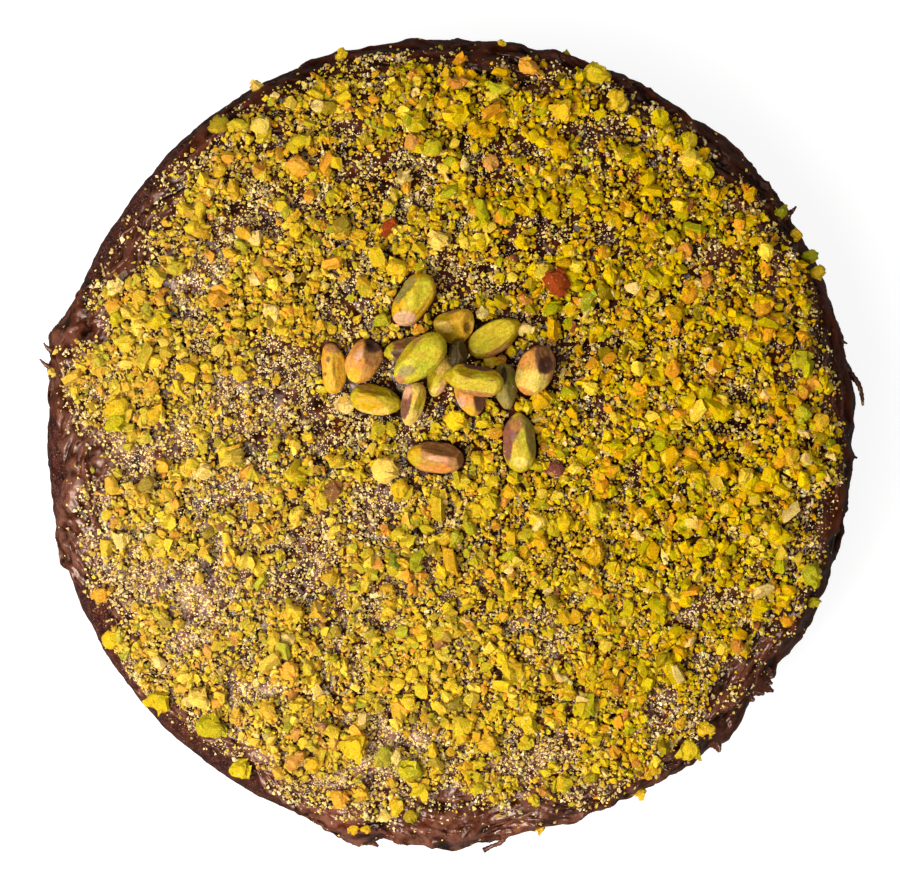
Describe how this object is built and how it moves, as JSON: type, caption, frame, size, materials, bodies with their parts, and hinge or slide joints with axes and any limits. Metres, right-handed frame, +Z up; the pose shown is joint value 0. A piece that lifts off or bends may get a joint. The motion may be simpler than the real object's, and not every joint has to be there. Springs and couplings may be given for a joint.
{
  "type": "pistachio cake",
  "caption": "Whole round chocolate cake with a draped layer of chocolate icing, strewn with chopped pistachios and topped with a loose heap of whole pistachio kernels.",
  "frame": {"origin": "middle of the flat base that the cake stands on", "axes": "+Z up out of the iced top, +X towards the picture's right and +Y towards its upper edge"},
  "size_m": [0.231, 0.233, 0.0742],
  "materials": {
    "sponge": "matte",
    "icing": "satin",
    "kernel": "satin"
  },
  "bodies": {
    "root": {"sponge": "sponge", "icing": "icing", "kernel_01": "kernel", "kernel_02": "kernel", "kernel_03": "kernel", "kernel_04": "kernel", "kernel_05": "kernel", "kernel_06": "kernel", "kernel_07": "kernel", "kernel_08": "kernel", "kernel_09": "kernel", "kernel_10": "kernel", "kernel_11": "kernel", "kernel_12": "kernel", "kernel_13": "kernel", "kernel_14": "kernel", "kernel_15": "kernel", "kernel_16": "kernel", "kernel_17": "kernel"}
  },
  "joints": []
}
